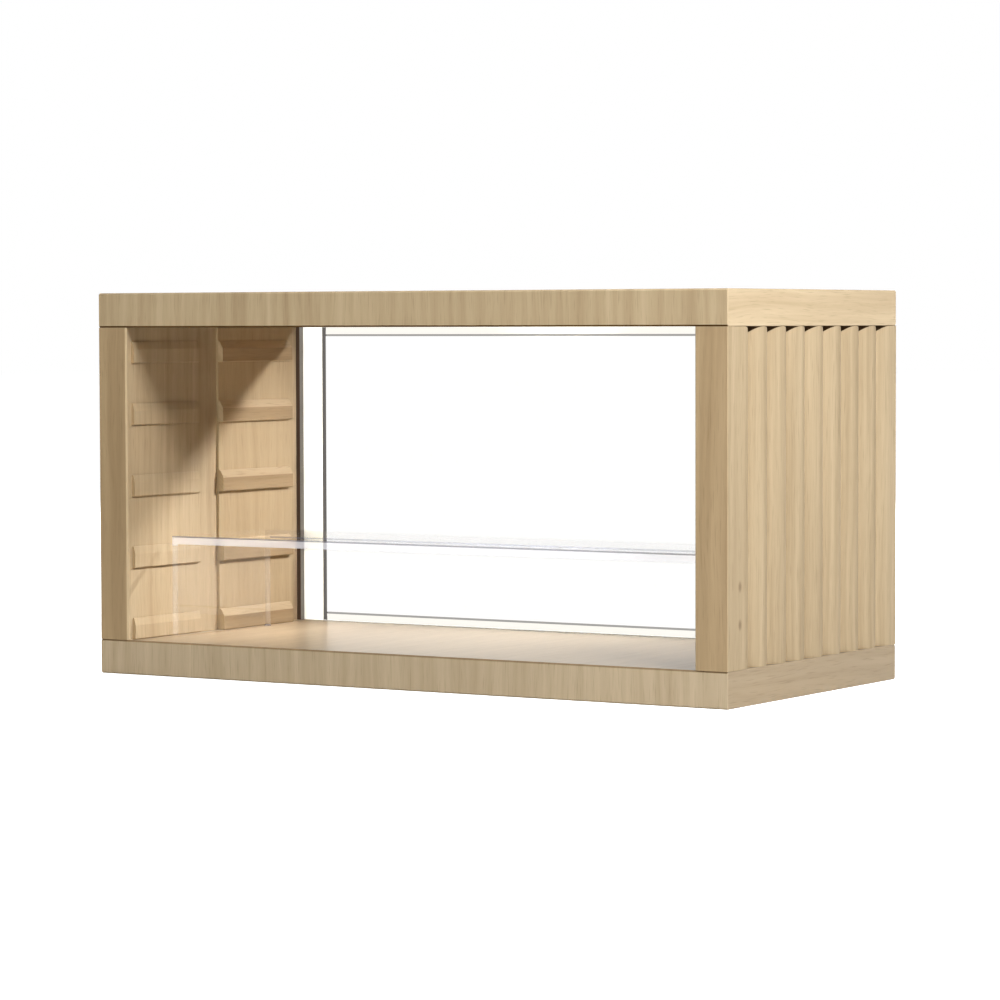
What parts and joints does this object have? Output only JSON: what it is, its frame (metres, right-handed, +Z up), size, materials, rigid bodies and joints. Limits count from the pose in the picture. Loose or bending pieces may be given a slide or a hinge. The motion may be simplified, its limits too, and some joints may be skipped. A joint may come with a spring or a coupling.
{
  "type": "lit figure display box",
  "caption": "Oak-veneered display box with reeded sides, an open front, ledges on the inner walls, a luminous white back and a clear bridge for small figures.",
  "frame": {"origin": "middle of the base, on the surface that the box stands on", "axes": "+X across the opening to the viewer's right, +Y from the open front to the rear cover, +Z up"},
  "size_m": [0.376, 0.18, 0.2],
  "materials": {
    "oak_veneer": "satin lacquered oak veneer, open grain",
    "beech": "sawn",
    "white_board": "painted white hardboard, satin",
    "opal_acrylic": "opal acrylic, lit",
    "clear_acrylic": "clear, polished edges",
    "black_foam": "matte closed-cell foam",
    "bare_aluminium": "extruded, satin",
    "strip_film": "white flexible circuit",
    "led_lens": "lit, warm white",
    "white_nylon": "moulded",
    "lead_sheath": "smooth sheath",
    "circuit_board": "solder mask",
    "black_resin": "moulded",
    "zinc_steel": "zinc plated",
    "inlet_steel": "drawn, plated"
  },
  "bodies": {
    "case": {"back_board": "white_board", "board_screws": "zinc_steel", "board_standoffs": "white_nylon", "bottom_panel": "oak_veneer", "carcass_dowels": "beech", "cover_screws": "zinc_steel", "driver_board": "circuit_board", "driver_components": "black_resin", "lead_connector": "white_nylon", "led_channel": "bare_aluminium", "led_chips": "led_lens", "led_lead": "lead_sheath", "led_strip": "strip_film", "left_front_cleats": "oak_veneer", "left_light_seal": "black_foam", "left_rear_batten": "beech", "left_rear_cleats": "oak_veneer", "left_rear_plate": "oak_veneer", "left_side_panel": "oak_veneer", "light_panel": "opal_acrylic", "power_inlet_shell": "inlet_steel", "power_inlet_tongue": "black_resin", "rear_cover": "oak_veneer", "right_front_cleats": "oak_veneer", "right_light_seal": "black_foam", "right_rear_batten": "beech", "right_rear_cleats": "oak_veneer", "right_rear_plate": "oak_veneer", "right_side_panel": "oak_veneer", "strip_connector": "white_nylon", "switch_body": "black_resin", "top_panel": "oak_veneer"},
    "riser": {"clear_riser": "clear_acrylic"},
    "button": {"power_button": "white_nylon", "switch_plunger": "black_resin"}
  },
  "joints": [
    {"name": "riser_slide", "type": "slide", "parent": "case", "child": "riser", "axis": [0, -1, 0], "range_m": [-0.04, 0.12]},
    {"name": "power_button_press", "type": "slide", "parent": "case", "child": "button", "axis": [0, -1, 0], "range_m": [0, 0.001], "stiffness_N_per_m": 500, "springref_m": -0.001}
  ]
}
